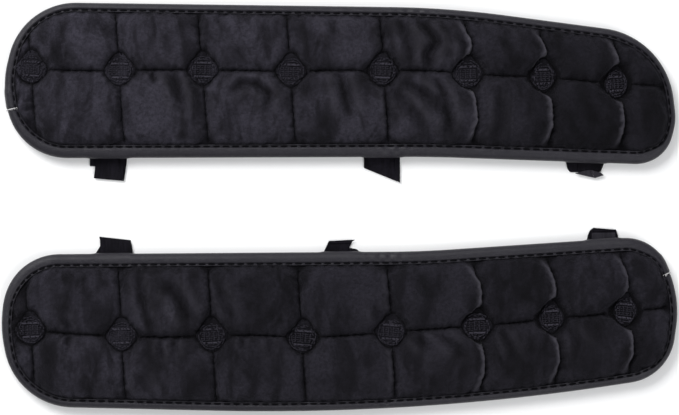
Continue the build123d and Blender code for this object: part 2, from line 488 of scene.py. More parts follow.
def base_height(plan, p):
    """The height of the cover where it is sewn down: low at the edge, higher at a rosette."""
    share = smoothstep(0, 8, plan.inside(p))
    seam = COVER_EDGE_HEIGHT + (SEAM_HEIGHT - COVER_EDGE_HEIGHT) * share
    round_rosette = 1 - smoothstep(0.0, 5.0, plan.from_rosette(p))
    return seam + (ROSETTE_HEIGHT - 1.0 - seam) * round_rosette


def quilted_cover(plan):
    """The plush cover: cloth sewn down along the seams and puffed up between them."""
    guard = plan.guard
    points = []
    pinned = []
    for i, p in enumerate(plan.points):
        height = base_height(plan, p)
        if plan.free(p) < 0.35:
            pinned.append(i)
        else:
            height += 1.5 * min(1.0, plan.free(p) / 5) + 0.12 * lumpy(p, 6.0, guard.seed)
        points.append(guard.place(p.x, p.y, height))
    cover = make_mesh(guard.name + "_quilted_cover", points, plan.faces)
    swell(cover, pinned, frames=22, stretch=0.065, pressure=2500)
    fill_out(cover, plan)
    return cover


def neighbours_of(count, faces):
    """For each point of a mesh, the points that share an edge with it."""
    near = [set() for _ in range(count)]
    for face in faces:
        for i, a in enumerate(face):
            near[a].add(face[i - 1])
            near[face[i - 1]].add(a)
    return near


def fold_depth(folds, p):
    """How deep the folds press the cover in at a plan point: a valley between two low ridges."""
    depth = 0.0
    for line, deep, width in folds:
        best = None
        total = len(line) - 1
        for k in range(total):
            a = Vector(line[k])
            run = Vector(line[k + 1]) - a
            share = min(1.0, max(0.0, (p - a).dot(run) / run.length_squared))
            far = (p - a - run * share).length
            if best is None or far < best[0]:
                best = (far, (k + share) / total)
        far, along = best
        if far < 5 * width:
            fade = math.sqrt(max(0.0, 1 - (2 * along - 1) ** 4))
            valley = gauss(far, 1.05 * width) - 0.32 * gauss(far - 2.2 * width, 1.1 * width)
            depth += deep * valley * (0.25 + 0.75 * fade)
    return depth


def store(piece, name, values):
    """Keep a number for each point of a mesh, for its material to read."""
    piece.data.attributes.new(name, "FLOAT", "POINT").data.foreach_set("value", values)


def settled_rises(cover, plan):
    """How far each point of the simulated cover stands over its seams, evened out."""
    near = neighbours_of(len(plan.points), plan.faces)
    rises = []
    for vertex, p in zip(cover.data.vertices, plan.points):
        rise = max(vertex.co.z / MM - base_height(plan, p), 0.0)
        rises.append(rise)
    for _ in range(3):
        rises = [
            0.5 * rise + 0.5 * sum(rises[j] for j in near[i]) / len(near[i]) if rise > 1.6 else rise
            for i, rise in enumerate(rises)
        ]
    return rises


def painted_pile_light(plan, p, fold, tip_share, middle):
    """How much painted shade darkens the plush at a plan point, and how much painted highlight lightens it
    there.
    """
    free = plan.free(p)
    # painted shade: dark in the seam valleys, in the corners where the seams meet the edge, and in the fold
    # valleys
    shaded_hollow = 1 - smoothstep(0.25, 1.6, free)
    shaded_hollow = max(shaded_hollow, 0.75 * (1 - smoothstep(-0.4, 1.4, plan.in_corner(p))))
    shade = min(1.0, max(0.0, shaded_hollow + 0.5 * fold))
    # painted highlight on the leaning rims of the puffs towards the tip, and on the fold ridges
    rim = gauss(plan.before_cross_seam(p) - 3.3, 1.6) * tip_share * (0.3 + 0.7 * middle)
    return shade, max(rim, min(0.2, -0.3 * fold)) * smoothstep(0.8, 2.2, free)


def fill_out(cover, plan):
    """The foam under the cloth: puffs rise steeply from the seams and are gently crowned on top.

    Towards the tip the puffs lean that way, over the seam beyond them.
    """
    guard = plan.guard
    marks = []
    rises = settled_rises(cover, plan)
    for vertex, p, rise in zip(cover.data.vertices, plan.points, rises):
        full = WALL_RISE * (1 - math.exp(-rise / 0.9)) + CROWN * rise
        fold = fold_depth(guard.folds, p) * smoothstep(0, 2.5, rise)
        full -= 1.9 * fold
        full += 0.3 * lumpy(p, 5, guard.seed + 8) * smoothstep(0, 2, rise)
        full *= smoothstep(-1.2, 2.0, plan.in_corner(p))
        tip_share = smoothstep(5, 80, p.x)
        middle = smoothstep(0, 19, plan.from_centre(p)) * smoothstep(0, 16, plan.inside(p))
        lean = LEAN * tip_share * middle * (1 - math.exp(-plan.free(p) / 1.1))
        moved = guard.plan(vertex.co)
        vertex.co = guard.place(moved.x + lean, moved.y, base_height(plan, p) + full)
        # painted shade and painted highlight for the plush material, with its painted shade along the pad
        marks.append((*painted_pile_light(plan, p, fold, tip_share, middle), guard.falloff_shade_at(p.x)))
    for name, values in zip(("shade", "rim", "falloff_shade"), zip(*marks)):
        store(cover, name, values)


def close_sheet(top, bottom_height, plan, name):
    """A closed solid under a sheet: its own faces, a bottom at another height, and a rim."""
    count = len(plan.points)
    border = len(plan.border)
    points = [v.co.copy() for v in top.data.vertices]
    for p in plan.points:
        points.append(plan.guard.place(p.x, p.y, bottom_height(p)))
    faces = list(plan.faces)
    faces += [tuple(count + i for i in reversed(face)) for face in plan.faces]
    for i in range(border):
        j = (i + 1) % border
        rim = (j, i, count + i, count + j)
        faces.append(rim if plan.guard.side > 0 else rim[::-1])
    return make_mesh(name, points, faces)


def underside_height(plan, p):
    """The backing's own height: drawn up at the seams and slack between them."""
    return PAD_BASE + 0.9 * math.exp(-plan.free(p) / 4)


def build_layers(guard):
    """The cover, the foam core and the backing of one guard."""
    plan = PadPlan(guard, spacing=2.2)
    cover = quilted_cover(plan)
    heights = [guard.plan(v.co).to_3d() + Vector((0, 0, v.co.z / MM)) for v in cover.data.vertices]
    foam_top = make_mesh("foam_top", [guard.place(h.x, h.y, h.z - FOAM_TOP_GAP) for h in heights], plan.faces)
    foam = close_sheet(
        foam_top, lambda p: underside_height(plan, p) + FOAM_BASE_GAP, plan, guard.name + "_foam_pad"
    )
    bpy.data.objects.remove(foam_top)
    under = make_mesh(
        "under_top",
        [guard.place(p.x, p.y, underside_height(plan, p) + BACKING_THICKNESS) for p in plan.points],
        plan.faces,
    )
    backing = close_sheet(under, lambda p: underside_height(plan, p), plan, guard.name + "_backing")
    bpy.data.objects.remove(under)
    add_modifier(cover, "SOLIDIFY", thickness=COVER_THICKNESS * MM, offset=-1)
    soften(cover)
    finish_piece(cover, guard.body, "plush", guard.name + "_plush_cover")
    finish_piece(foam, guard.body, "foam", guard.name + "_foam_core")
    finish_piece(backing, guard.body, "backing", guard.name + "_backing_sheet")
    return plan


def dress(piece, slot, *nodes):
    """Give a piece the material of its slot, and hide the CAD nodes that it stands for."""
    piece.data.materials.clear()
    piece.data.materials.append(LOOKS[slot])
    if nodes:
        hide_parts(*nodes)


def finish_piece(piece, body, slot, *nodes):
    """Dress a piece and let it ride on a body."""
    dress(piece, slot, *nodes)
    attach(piece, body)


# ---- binding --------------------------------------------------------------------------
def gauss(x, width):
    """A smooth bump of height 1 about 0."""
    return math.exp(-((x / width) ** 2))


def binding_shape(guard, here, inward, along):
    """How the binding's section is changed at one place of the edge.

    Returns the stitch inset, the outward bulge over a tab, the crumple, and the dimple of
    the stitch line, which is deepest where a stitch enters the leatherette.
    """
    bulge = 0.1 + 0.6 * smoothstep(0.2, 0.9, inward.y)
    if inward.y > 0.7:
        for low_u, high_u in guard.tab_spans:
            over = smoothstep(low_u - 3, low_u + 1, here.x) - smoothstep(high_u - 1, high_u + 3, here.x)
            bulge += 0.5 * over
    crumple = 0.0
    for middle, far in guard.crumples:
        if (inward.y < 0) == far:
            fold = math.cos((here.x - middle) * math.tau / 6.8 + 1.5 * lumpy(here, 7, guard.seed))
            crumple += 0.34 * gauss(here.x - middle, 10) * fold
    wave = 0.5 + 0.5 * math.cos(along * math.tau / guard.stitch_pitch)
    return stitch_inset(inward), bulge, crumple, wave


def binding_section(stitch, bulge, crumple, wave, slack, lift):
    """The closed section of the folded binding, as (inward distance, height) pairs.

    It runs from the under lip round the outside to the top lip, and back inside the fold.
    """
    out = -bulge
    top = BINDING_TOP + lift + crumple
    dip = 0.5 + 0.5 * (1 - wave)
    lip = 0.22 * wave
    outer = [
        (stitch + 1.6, PAD_BASE - 0.1),
        (stitch + 0.2, PAD_BASE + 0.1),
        (stitch - 1.4, PAD_BASE - 0.25),
        (2.2 + out, PAD_BASE + 0.0 - slack * 0.2),
        (0.9 + out, PAD_BASE + 0.9),
        (0.2 + out, PAD_BASE + 2.2),
        (0.0 + out, PAD_BASE + 3.6 + 0.2 * crumple),
        (0.25 + out * 0.8, PAD_BASE + 5.0 + 0.5 * crumple),
        (0.95 + out * 0.5, top - 0.95),
        (1.9, top - 0.25 + slack * 0.15),
        (3.0, top + slack * 0.2),
        (stitch - 1.5, top - 0.05 + slack * 0.15),
        (stitch - 0.85, top - 0.3),
        (stitch - 0.4, top - 0.4 - dip),
        (stitch + 0.1, top - 0.45 - dip),
        (stitch + 0.4, top - 0.45 + lip),
        (stitch + 0.65, top - 0.4 + lip),
        (stitch + 0.85 + lip, top - 0.6 + lip * 0.5),
        (stitch + 0.9 + lip, top - 1.0),
    ]
    inner = [
        (stitch + 0.6, top - 1.4),
        (stitch - 1.0, top - 1.6),
        (2.6, top - 1.3),
        (1.4 + out * 0.5, top - 2.1),
        (1.0 + out, PAD_BASE + 3.6),
        (1.5 + out, PAD_BASE + 1.6),
        (2.8, PAD_BASE + 0.8),
        (stitch + 1.5, PAD_BASE + 0.8),
    ]
    return outer + inner


def build_binding(guard):
    """The folded leatherette strip round the pad, with its overlapped join."""
    frames, _ = edge_frames(guard)
    overlap = 9
    join = min(range(len(frames)), key=lambda i: (frames[i][0] - guard.join).length)
    start = join - overlap
    stations = [frames[(start + k) % len(frames)] for k in range(len(frames) + overlap)]
    points = []
    faces = []
    size = 0
    for k, (here, inward, along) in enumerate(stations):
        stitch, bulge, crumple, wave = binding_shape(guard, here, inward, along)
        slack = lumpy(here, 9, guard.seed + 20)
        on_top = smoothstep(len(frames) - 4, len(frames) - 1, k)
        section = binding_section(
            stitch, bulge + JOIN_BULGE * on_top, crumple, wave, slack, JOIN_LIFT * on_top
        )
        size = len(section)
        for distance, height in section:
            p = here + inward * distance
            points.append(guard.place(p.x, p.y, height))
        if k:
            for i in range(size):
                j = (i + 1) % size
                quad = ((k - 1) * size + i, (k - 1) * size + j, k * size + j, k * size + i)
                faces.append(quad if guard.side < 0 else quad[::-1])
    last = (len(stations) - 1) * size
    first_cap = tuple(range(size))
    last_cap = tuple(last + i for i in reversed(range(size)))
    faces += [first_cap[::-1], last_cap[::-1]] if guard.side < 0 else [first_cap, last_cap]
    binding = make_mesh(guard.name + "_binding", points, faces)
    soften(binding)
    finish_piece(binding, guard.body, "binding", guard.name + "_edge_binding")
    return stations[-1]


# ---- thread ---------------------------------------------------------------------------
def add_strand(points, faces, centres, radii, sides=6, flat=1.0):
    """Add a closed round strand through 3-D centres, with a radius at each; flat squashes it."""
    first = len(points)
    count = len(centres)
    for k, centre in enumerate(centres):
        run = (centres[min(k + 1, count - 1)] - centres[max(k - 1, 0)]).normalized()
        across = run.cross(Vector((0, 0, 1)))
        across = across.normalized() if across.length > 1e-6 else Vector((1, 0, 0))
        up = across.cross(run).normalized()
        for i in range(sides):
            angle = math.tau * i / sides
            offset = across * math.cos(angle) + up * (math.sin(angle) * flat)
            points.append(centre + offset * radii[k])
    for k in range(count - 1):
        for i in range(sides):
            j = (i + 1) % sides
            a = first + k * sides
            faces.append((a + i, a + j, a + sides + j, a + sides + i))
    faces.append(tuple(first + i for i in reversed(range(sides))))
    faces.append(tuple(first + (count - 1) * sides + i for i in range(sides)))


def add_stitch(points, faces, start, end, radius, rise, up=1.0):
    """Add one stitch: a strand that comes up at start, lies over the cloth and goes down at end.

    radius and rise are in millimetres; up is -1 for a stitch that lies under the cloth.
    """
    shares = (0.0, 0.12, 0.5, 0.88, 1.0)
    heights = (-1.2, 0.35, 1.0, 0.35, -1.2)
    sizes = (0.55, 0.95, 1.0, 0.95, 0.55)
    centres = []
    for share, height in zip(shares, heights):
        centre = start.lerp(end, share)
        centre.z += rise * MM * height * up
        centres.append(centre)
    add_strand(points, faces, centres, [radius * MM * s for s in sizes])


def sew(points, faces, guard, a, b, height, radius, rise, up=1.0):
    """Add a stitch between two plan points, all at one height."""
    start = guard.place(a.x, a.y, height)
    end = guard.place(b.x, b.y, height)
    add_stitch(points, faces, start, end, radius, rise, up)


def strand_mesh(name, points, faces):
    """A mesh of strands, with the faces turned outwards."""
    made = make_mesh(name, points, faces)
    mesh = bmesh.new()
    mesh.from_mesh(made.data)
    bmesh.ops.recalc_face_normals(mesh, faces=mesh.faces)
    mesh.to_mesh(made.data)
    mesh.free()
    return made


def build_binding_stitches(guard):
    """The row of stitches round the binding, on top and underneath."""
    frames, total = edge_frames(guard)
    top_line = [here + inward * (stitch_inset(inward) - 0.1) for here, inward, _ in frames]
    count = round(total / guard.stitch_pitch)
    points = []
    faces = []
    for k in range(count):
        ends = []
        for share in (0.17, 0.83):
            at = ((k + share) / count) * len(top_line)
            i = int(at) % len(top_line)
            ends.append(top_line[i].lerp(top_line[(i + 1) % len(top_line)], at - int(at)))
        a, b = ends
        sew(points, faces, guard, a, b, BINDING_TOP - 0.75, 0.46, 0.3)
        sew(points, faces, guard, a, b, PAD_BASE - 0.1, 0.34, 0.2, up=-1)
    stitches = strand_mesh(guard.name + "_binding_stitches", points, faces)
    finish_piece(stitches, guard.body, "thread", guard.name + "_binding_stitching")


def build_quilting_stitches(plan):
    """Small stitches that lie in the valleys of the quilting seams and show on the backing."""
    guard = plan.guard
    points = []
    faces = []
    for seam in plan.seams:
        if len(seam) < 3:
            continue
        line = resample(seam, SEAM_STITCH_PITCH)
        for a, b in zip(line, line[1:]):
            start = a.lerp(b, 0.12)
            end = a.lerp(b, 0.88)
            sew(points, faces, guard, start, end, base_height(plan, a) + 0.25, 0.3, 0.22)
            sew(points, faces, guard, start, end, underside_height(plan, a) + 0.05, 0.3, 0.22, up=-1)
    stitches = strand_mesh(guard.name + "_quilting_stitches", points, faces)
    finish_piece(stitches, guard.body, "thread", guard.name + "_quilting_thread")


# ---- rosettes -------------------------------------------------------------------------
def build_rosettes(plan):
    """Embroidered rounds of pressed plush: a sewn ring, darned rows, two bright bars and uprights."""
    guard = plan.guard
    draw = random.Random(guard.seed + 40)
    ground = ([], [])
    threads = ([], [])
    bars = ([], [])
    falloff_shades = []
    for centre in guard.rosettes:
        squeeze = 1.0 - 0.22 * smoothstep(60, 150, centre.x)
        turn = draw.uniform(-0.08, 0.08)

        def at(x, y, height):
            """A place on the rosette, turned a little and narrower towards the tip."""
            u = x * math.cos(turn) - y * math.sin(turn)
            v = x * math.sin(turn) + y * math.cos(turn)
            return guard.place(centre.x + u * squeeze, centre.y + v, height)

        before = len(ground[0])
        angles = [math.tau * k / ROSETTE_STEPS for k in range(ROSETTE_STEPS)]
        reach = [recess_radius(guard, centre, angle) - 0.45 for angle in angles]
        add_ground(*ground, at, reach, draw)
        # painted shade, darker towards the far end, as on the plush round it
        falloff_shades += [guard.falloff_shade_at(centre.x)] * (len(ground[0]) - before)
        add_ring(*threads, at, draw)
        add_darning(*threads, at, draw)
        add_bars(*bars, at, draw)
    shaded_hollow = make_mesh(guard.name + "_rosette_grounds", *ground)
    store(shaded_hollow, "falloff_shade", falloff_shades)
    # painted shade: the rosette ground is darkened in its recess
    store(shaded_hollow, "shade", [0.3] * len(falloff_shades))
    finish_piece(shaded_hollow, guard.body, "embroidery")
    shaded_hollow.data.materials[0] = LOOKS["plush"]
    stitched = strand_mesh(guard.name + "_rosette_embroidery", *threads)
    finish_piece(stitched, guard.body, "embroidery", guard.name + "_rosettes")
    stitched.data.materials[0] = LOOKS["ring_thread"]
    finish_piece(strand_mesh(guard.name + "_rosette_bars", *bars), guard.body, "embroidery")


def add_ring(points, faces, at, draw):
    """Add the ring of stitches round a rosette: uneven, with some sunk out of sight in the pile."""
    for radius, count in ((ROSETTE_RADIUS - 0.9, 27), (ROSETTE_RADIUS - 1.9, 23)):
        for k in range(count):
            wobble = radius + draw.uniform(-0.35, 0.35)
            a = polar(wobble, math.tau * (k + 0.08) / count)
            b = polar(wobble + draw.uniform(-0.3, 0.3), math.tau * (k + 0.95) / count)
            height = ROSETTE_HEIGHT + draw.uniform(-0.45, 0.05)
            if draw.random() < 0.75:
                add_stitch(points, faces, at(a.x, a.y, height), at(b.x, b.y, height), 0.3, 0.28)


def add_darning(points, faces, at, draw):
    """Add rows of short stitches across a rosette and the four uprights between its bars."""
    for row in range(-5, 6):
        y = 1.22 * row
        reach = math.sqrt(6.4**2 - y**2) if abs(y) < 6.4 else 0.0
        x = -reach + draw.uniform(0, 0.6)
        while x < reach - 1.2:
            run = draw.uniform(1.0, 2.2)
            height = ROSETTE_HEIGHT + draw.uniform(-0.5, -0.1)
            start = at(x, y + draw.uniform(-0.25, 0.25), height)
            end = at(min(x + run, reach), y + draw.uniform(-0.25, 0.25), height)
            add_stitch(points, faces, start, end, 0.22, 0.25)
            x += run + draw.uniform(0.2, 0.9)
    for x in (-4.4, -1.5, 1.5, 4.4):
        for k in range(3):
            y = -2.9 + 1.9 * k
            low = at(x, y + 0.1, ROSETTE_HEIGHT)
            add_stitch(points, faces, low, at(x, y + 1.7, ROSETTE_HEIGHT), 0.26, 0.3)


def add_bars(points, faces, at, draw):
    """Add the two bars of satin stitch, and a few loose bright stitches near the ring."""
    worn = draw.uniform(0.1, 0.55)
    for y in (-4.1, 4.1):
        for k in range(21):
            if draw.random() < worn:
                continue
            x = -4.7 + 9.4 * k / 20
            top = at(x + 0.25, y + 0.4 + draw.uniform(-0.15, 0.15), ROSETTE_HEIGHT)
            low = at(x - 0.25, y - 0.4 + draw.uniform(-0.15, 0.15), ROSETTE_HEIGHT)
            add_stitch(points, faces, low, top, 0.24, 0.42)
    for _ in range(draw.randrange(3, 9)):
        spot = polar(draw.uniform(5.2, 7.4), draw.uniform(0, math.tau))
        run = polar(draw.uniform(0.7, 1.3), draw.uniform(0, math.tau))
        start = at(spot.x, spot.y, ROSETTE_HEIGHT)
        end = at(spot.x + run.x, spot.y + run.y, ROSETTE_HEIGHT)
        add_stitch(points, faces, start, end, 0.22, 0.4)


def add_ground(points, faces, at, reach, draw):
    """Add the flattened plush inside a rosette: a shallow closed dish with a cusp on each seam."""
    first = len(points)
    rings = 9
    steps = len(reach)
    for ring in range(1, rings + 1):
        for k in range(steps):
            p = polar(reach[k] * ring / rings, math.tau * k / steps)
            dome = 0.2 * math.cos(math.pi * ring / rings) + draw.uniform(-0.16, 0.16)
            points.append(at(p.x, p.y, ROSETTE_HEIGHT - 0.5 + dome))
    centre = len(points)
    points.append(at(0, 0, ROSETTE_HEIGHT - 0.2))
    bottom = len(points)
    points.append(at(0, 0, ROSETTE_HEIGHT - 1.6))
    for k in range(steps):
        j = (k + 1) % steps
        faces.append((centre, first + k, first + j))
        for ring in range(rings - 1):
            a = first + ring * steps
            faces.append((a + k, a + steps + k, a + steps + j, a + j))
        edge = first + (rings - 1) * steps
        faces.append((edge + j, edge + k, bottom))


# ---- straps and tabs ------------------------------------------------------------------
def node_span(guard, node):
    """The plan and height limits of a CAD node: u low, u high, v low, v high, z low, z high."""
    low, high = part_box(f"{guard.name}_{node}")
    a = guard.plan(low)
    b = guard.plan(high)
    return a.x, b.x, min(a.y, b.y), max(a.y, b.y), low.z / MM, high.z / MM


def selvedge(s):
    """The half thickness of webbing across its width, s from -1 to 1: full at the woven edges."""
    body = 0.8 + 0.2 * smoothstep(0.8, 0.93, abs(s))
    return body * math.sqrt(max(0.0, 1 - smoothstep(0.93, 1.0, abs(s)) ** 2))


ACROSS = (-1.0, -0.97, -0.9, -0.8, -0.5, -0.2, 0.2, 0.5, 0.8, 0.9, 0.97, 1.0)


def add_skin(points, faces, tops, lows):
    """Join rows of top points and low points into one closed skin."""
    first = len(points)
    across = len(tops[0])
    last_row = len(tops) - 1
    for top, low in zip(tops, lows):
        points += top + low

    def at(row, column):
        """The index of a top point. The low point under it comes across places later."""
        return first + row * 2 * across + column

    def wall(a, b):
        """The side face from two top points to the low points under them."""
        return (a, b, b + across, a + across)

    for row in range(last_row):
        for column in range(across - 1):
            face = (at(row, column), at(row, column + 1), at(row + 1, column + 1), at(row + 1, column))
            faces.append(face)
            faces.append(tuple(i + across for i in reversed(face)))
        for column in (0, across - 1):
            faces.append(wall(at(row, column), at(row + 1, column)))
    for row in (0, last_row):
        for column in range(across - 1):
            faces.append(wall(at(row, column), at(row, column + 1)))


def add_ribbon(points, faces, guard, path, u_low, u_high, thickness):
    """Add webbing that follows a path of (v, z) places, all across one width."""
    tops = []
    lows = []
    middle = (u_low + u_high) / 2
    half = (u_high - u_low) / 2
    for k, (v, z) in enumerate(path):
        before = path[max(k - 1, 0)]
        after = path[min(k + 1, len(path) - 1)]
        run = Vector((after[0] - before[0], after[1] - before[1])).normalized()
        normal = Vector((-run.y, run.x))
        top = []
        low = []
        for s in ACROSS:
            depth = selvedge(s) * thickness / 2
            u = middle + half * s
            top.append(guard.place(u, v + normal.x * depth, z + normal.y * depth))
            low.append(guard.place(u, v - normal.x * depth, z - normal.y * depth))
        tops.append(top)
        lows.append(low)
    add_skin(points, faces, tops, lows)


def build_strap(guard, number):
    """One elastic band, turned back under its sewn end, with its hook patch."""
    u_low, u_high, v_end, v_line, _, _ = node_span(guard, f"strap_{number}_band")
    anchor = node_span(guard, f"strap_{number}_anchor")
    turn_v = anchor[3] + 0.1
    sewn_z, turn_z, band_z, turn_radius = 2.08, 1.26, 0.44, 0.82
    path = [(turn_v - 3.0, sewn_z), (turn_v - 1.5, sewn_z)]
    for k in range(9):
        angle = math.pi * k / 8
        path.append((turn_v + turn_radius * math.sin(angle), turn_z + turn_radius * math.cos(angle)))
    steps = round(turn_v - v_end)
    for k in range(1, steps + 1):
        path.append((turn_v + (v_end - turn_v) * k / steps, band_z))
    points = []
    faces = []
    add_ribbon(points, faces, guard, path, u_low, u_high, 0.8)
    band = strand_mesh(f"{guard.name}_strap_{number}_webbing", points, faces)
    soften(band)
    dress(band, "webbing", f"{guard.name}_strap_{number}_band")
    middle = (u_low + u_high) / 2
    start = guard.place(middle, v_line, 1.75)
    end = guard.place(middle, v_line, 0.95)
    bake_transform(band)
    build_hooks(guard, number)


def build_hooks(guard, number):
    """The hook patch: a thin moulded base with rows of small bent hooks."""
    u_low, u_high, v_low, v_high, z_low, _ = node_span(guard, f"strap_{number}_hook_patch")
    points = []
    faces = []
    length = v_high - v_low
    path = [(v_low + length * k / 24, z_low + 0.06) for k in range(25)]
    add_ribbon(points, faces, guard, path, u_low, u_high, 0.22)
    pitch = 1.3
    for row in range(1, int(length / pitch)):
        for column in range(1, int((u_high - u_low) / pitch)):
            u = u_low + (column + 0.25 * (row % 2)) * pitch
            v = v_low + row * pitch
            tip = 0.3 if column % 2 else -0.3
            curve = ((0, 0.1), (0, 0.42), (0.55, 0.56), (1.0, 0.36))
            centres = [guard.place(u, v + tip * share, z_low + height) for share, height in curve]
            add_strand(points, faces, centres, [0.1 * MM, 0.09 * MM, 0.08 * MM, 0.06 * MM], sides=4)
    hooks = strand_mesh(f"{guard.name}_strap_{number}_hooks", points, faces)
    body = f"{guard.name}_strap_{number}"
    finish_piece(hooks, body, "hook", f"{guard.name}_strap_{number}_hook_patch")


def polyline_at(line, share):
    """The point at a share of a polyline's length."""
    lengths = [(b - a).length for a, b in zip(line, line[1:])]
    left = share * sum(lengths)
    for a, b, length in zip(line, line[1:], lengths):
        if left <= length:
            return a.lerp(b, left / length)
        left -= length
    return line[-1]


class Layer:
    """One layer of a tab: webbing between a left and a right side, from the sewn line out.

    height is the layer's own height in millimetres. tip lifts the free end, and lift_left
    and lift_right lift those sides towards the end. A light layer shows the paler back of the
    webbing, painted lighter still as a painted highlight where the turned strip catches the light.
    """

    def __init__(self, left, right, height, tip=0.0, lift_left=0.0, lift_right=0.0, light=False):
        self.left = [Vector(p) for p in left]
        self.right = [Vector(p) for p in right]
        self.height = height
        self.tip = tip
        self.lift_left = lift_left
        self.lift_right = lift_right
        self.light = light

    def lift(self, s, t):
        """How far one place of the layer stands over its own height."""
        free = smoothstep(0.45, 1.0, t)
        sides = self.lift_left * smoothstep(0, 1, -s) + self.lift_right * smoothstep(0, 1, s)
        return free * (self.tip + sides)


def add_layer(points, faces, guard, layer, sewn_line, thickness):
    """Add one layer of a tab to a mesh."""
    tops = []
    lows = []
    rows = 22
    for k in range(rows + 1):
        t = k / rows
        a = polyline_at(layer.left, t)
        b = polyline_at(layer.right, t)
        top = []
        low = []
        for s in ACROSS:
            p = a.lerp(b, (s + 1) / 2)
            rooted = smoothstep(sewn_line - 4.5, sewn_line + 0.5, p.y)
            z = layer.height + layer.lift(s, t) + 0.08 * lumpy(p, 3, guard.seed)
            z += (2.05 - z) * rooted
            depth = max(selvedge(s), 0.12) * thickness / 2
            top.append(guard.place(p.x, p.y, z + depth))
            low.append(guard.place(p.x, p.y, z - depth))
        tops.append(top)
        lows.append(low)
    add_skin(points, faces, tops, lows)


def build_tab(guard, number, layers):
    """One tab: its layers of webbing, drawn to one height at the sewn line."""
    span = node_span(guard, f"tab_{number}")
    sewn_line = span[3]
    for light in (False, True):
        points = []
        faces = []
        for layer in layers:
            if layer.light == light:
                add_layer(points, faces, guard, layer, sewn_line, 0.5)
        if not points:
            continue
        name = "turned_edge" if light else "webbing"
        tab = strand_mesh(f"{guard.name}_tab_{number}_{name}", points, faces)
        soften(tab)
        dress(tab, "webbing", *([] if light else [f"{guard.name}_tab_{number}"]))
        if light:
            # the paler back of the webbing, also painted lighter as a painted highlight on the turned strip
            tab.data.materials[0] = LOOKS["webbing_back"]
        middle = (span[0] + span[1]) / 2
        start = guard.place(middle, sewn_line + 0.6, 0.6)
        end = guard.place(middle, sewn_line - 5.0, 0.6)
        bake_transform(tab)


def build_anchor(guard, node):
    """One sewn-down end: a folded square of webbing under the pad with a turned edge."""
    u_low, u_high, v_low, v_high, z_low, _ = node_span(guard, node)
    points = []
    faces = []
    steps = 14
    path = []
    for k in range(steps + 1):
        share = k / steps
        edge = min(share, 1 - share) * steps
        path.append((v_low + (v_high - v_low) * share, z_low + 0.3 - 0.12 * smoothstep(1, 2.5, edge)))
    add_ribbon(points, faces, guard, path, u_low, u_high, 0.55)
    piece = strand_mesh(f"{guard.name}_{node}_patch", points, faces)
    soften(piece)
    finish_piece(piece, guard.body, "patch", f"{guard.name}_{node}")
    return (u_low + 2.2, u_high - 2.2, v_low + 1.6, v_high - 1.6)


def build_box_stitches(guard, squares):
    """The sewn squares with their crosses that hold the straps and tabs."""
    points = []
    faces = []
    level = PAD_BASE - 0.62
    for u_low, u_high, v_low, v_high in squares:
        corners = [Vector(p) for p in ((u_low, v_low), (u_high, v_low), (u_high, v_high), (u_low, v_high))]
        lines = list(zip(corners, corners[1:] + corners[:1]))
        lines += [(corners[0], corners[2]), (corners[1], corners[3])]
        for a, b in lines:
            count = max(3, round((b - a).length / 2.4))
            for k in range(count):
                start = a.lerp(b, (k + 0.1) / count)
                end = a.lerp(b, (k + 0.9) / count)
                sew(points, faces, guard, start, end, level, 0.22, 0.12, up=-1)
    stitches = strand_mesh(guard.name + "_box_stitches", points, faces)
    finish_piece(stitches, guard.body, "thread", guard.name + "_strap_stitching")


def build_frayed_join(guard, station):
    """The cut end of the binding strip: its pale woven backing and a few loose fibres."""
    here, inward, _ = station
    run = Vector((inward.y, -inward.x))
    draw = random.Random(guard.seed + 60)
    section = binding_section(stitch_inset(inward), JOIN_BULGE, 0.0, 0.5, 0.0, JOIN_LIFT)
    seen = section[4:16]       # from the outer wall over the top to the stitches
    line = [(here + inward * distance, height) for distance, height in seen]
    points = []
    faces = []
    core = [guard.place(p.x + run.x * 0.1, p.y + run.y * 0.1, z - 0.1) for p, z in line]
    add_strand(points, faces, core, [0.26 * MM] * len(core), sides=6)
    for _ in range(26):
        p, z = line[draw.randrange(len(line))]
        reach = draw.uniform(0.4, 1.5)
        side = draw.uniform(-0.5, 0.5)
        tip = p + run * reach + inward * side
        middle = p.lerp(tip, 0.5)
        centres = [
            guard.place(p.x, p.y, z - 0.1),
            guard.place(middle.x, middle.y, z + draw.uniform(-0.1, 0.25)),
            guard.place(tip.x, tip.y, z + draw.uniform(-0.4, 0.3)),
        ]
        add_strand(points, faces, centres, [0.1 * MM, 0.08 * MM, 0.05 * MM], sides=4)
    fray = strand_mesh(guard.name + "_binding_frayed_end", points, faces)
    finish_piece(fray, guard.body, "binding")
    fray.data.materials[0] = LOOKS["cut_edge"]


